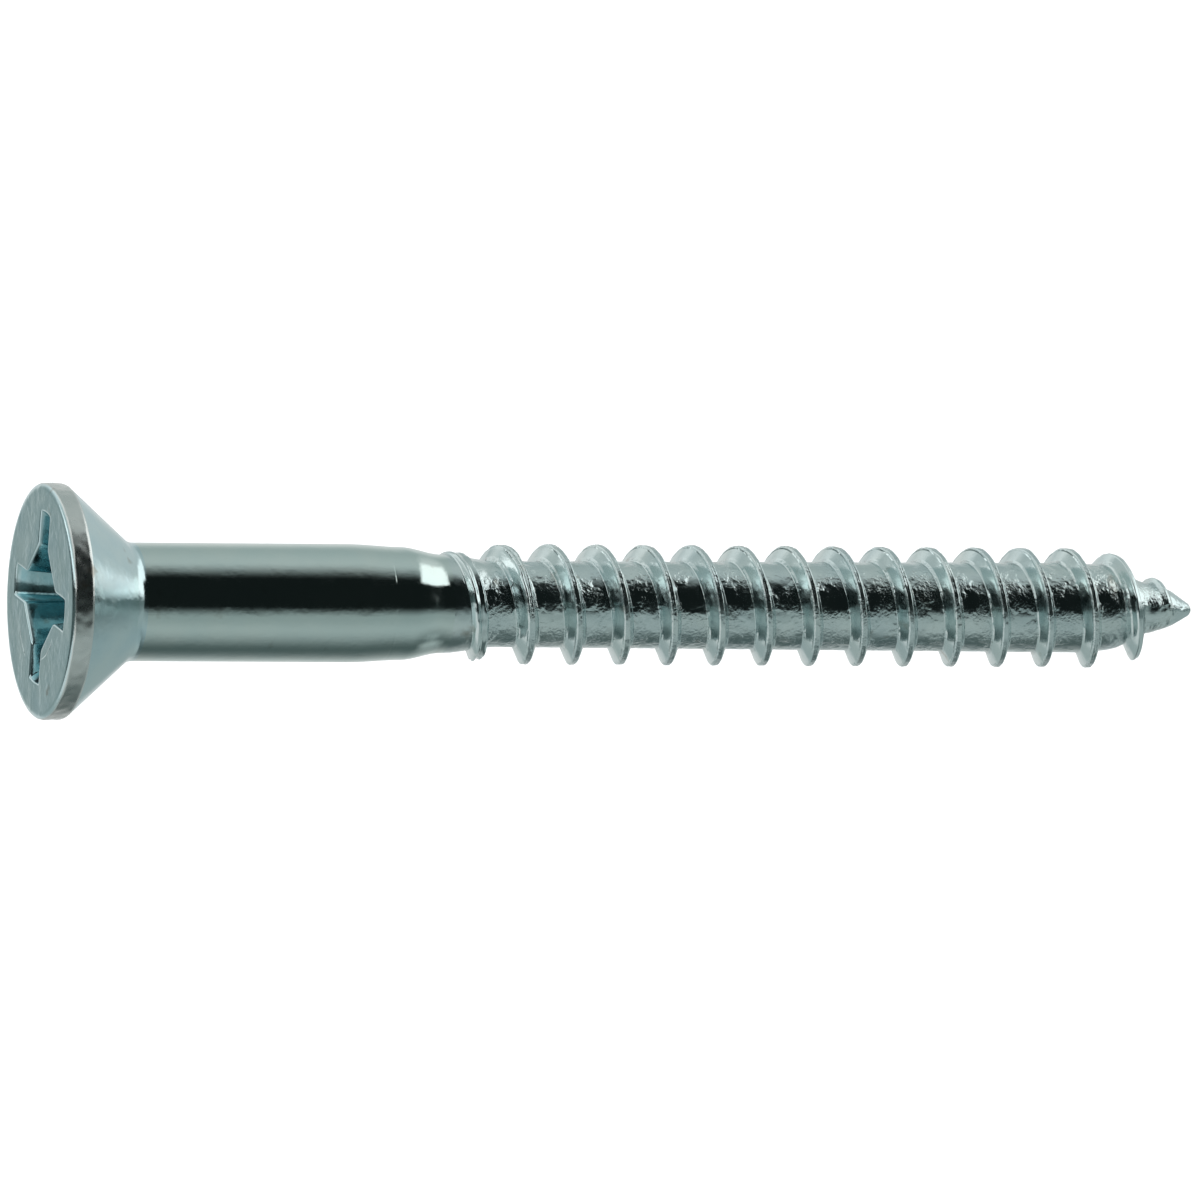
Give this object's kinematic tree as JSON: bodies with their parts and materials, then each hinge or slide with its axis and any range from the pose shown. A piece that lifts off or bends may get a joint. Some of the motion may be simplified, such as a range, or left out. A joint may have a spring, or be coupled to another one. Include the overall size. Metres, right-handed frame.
{
  "type": "wood screw",
  "caption": "Flat-head wood screw with a cross recess, plain shank, necked shoulder, coarse right-hand thread and gimlet point.",
  "frame": {"origin": "centre of the head's flat face, on the screw's axis", "axes": "+Z out of the head's flat face along the screw's axis, so the point is down at negative Z; +X is the side where the thread's crests pass 21.77 mm plus whole pitches below the face"},
  "size_m": [0.012, 0.012, 0.0615],
  "materials": {
    "bright_zinc": "clear blue-bright zinc plate over cold-headed steel, smooth with fine drawing marks",
    "rolled_zinc": "clear blue-bright zinc plate over rolled steel, scuffed and pitted from thread rolling"
  },
  "bodies": {
    "root": {"head": "bright_zinc", "shank": "bright_zinc", "neck": "bright_zinc", "thread": "rolled_zinc", "point": "rolled_zinc"}
  },
  "joints": []
}
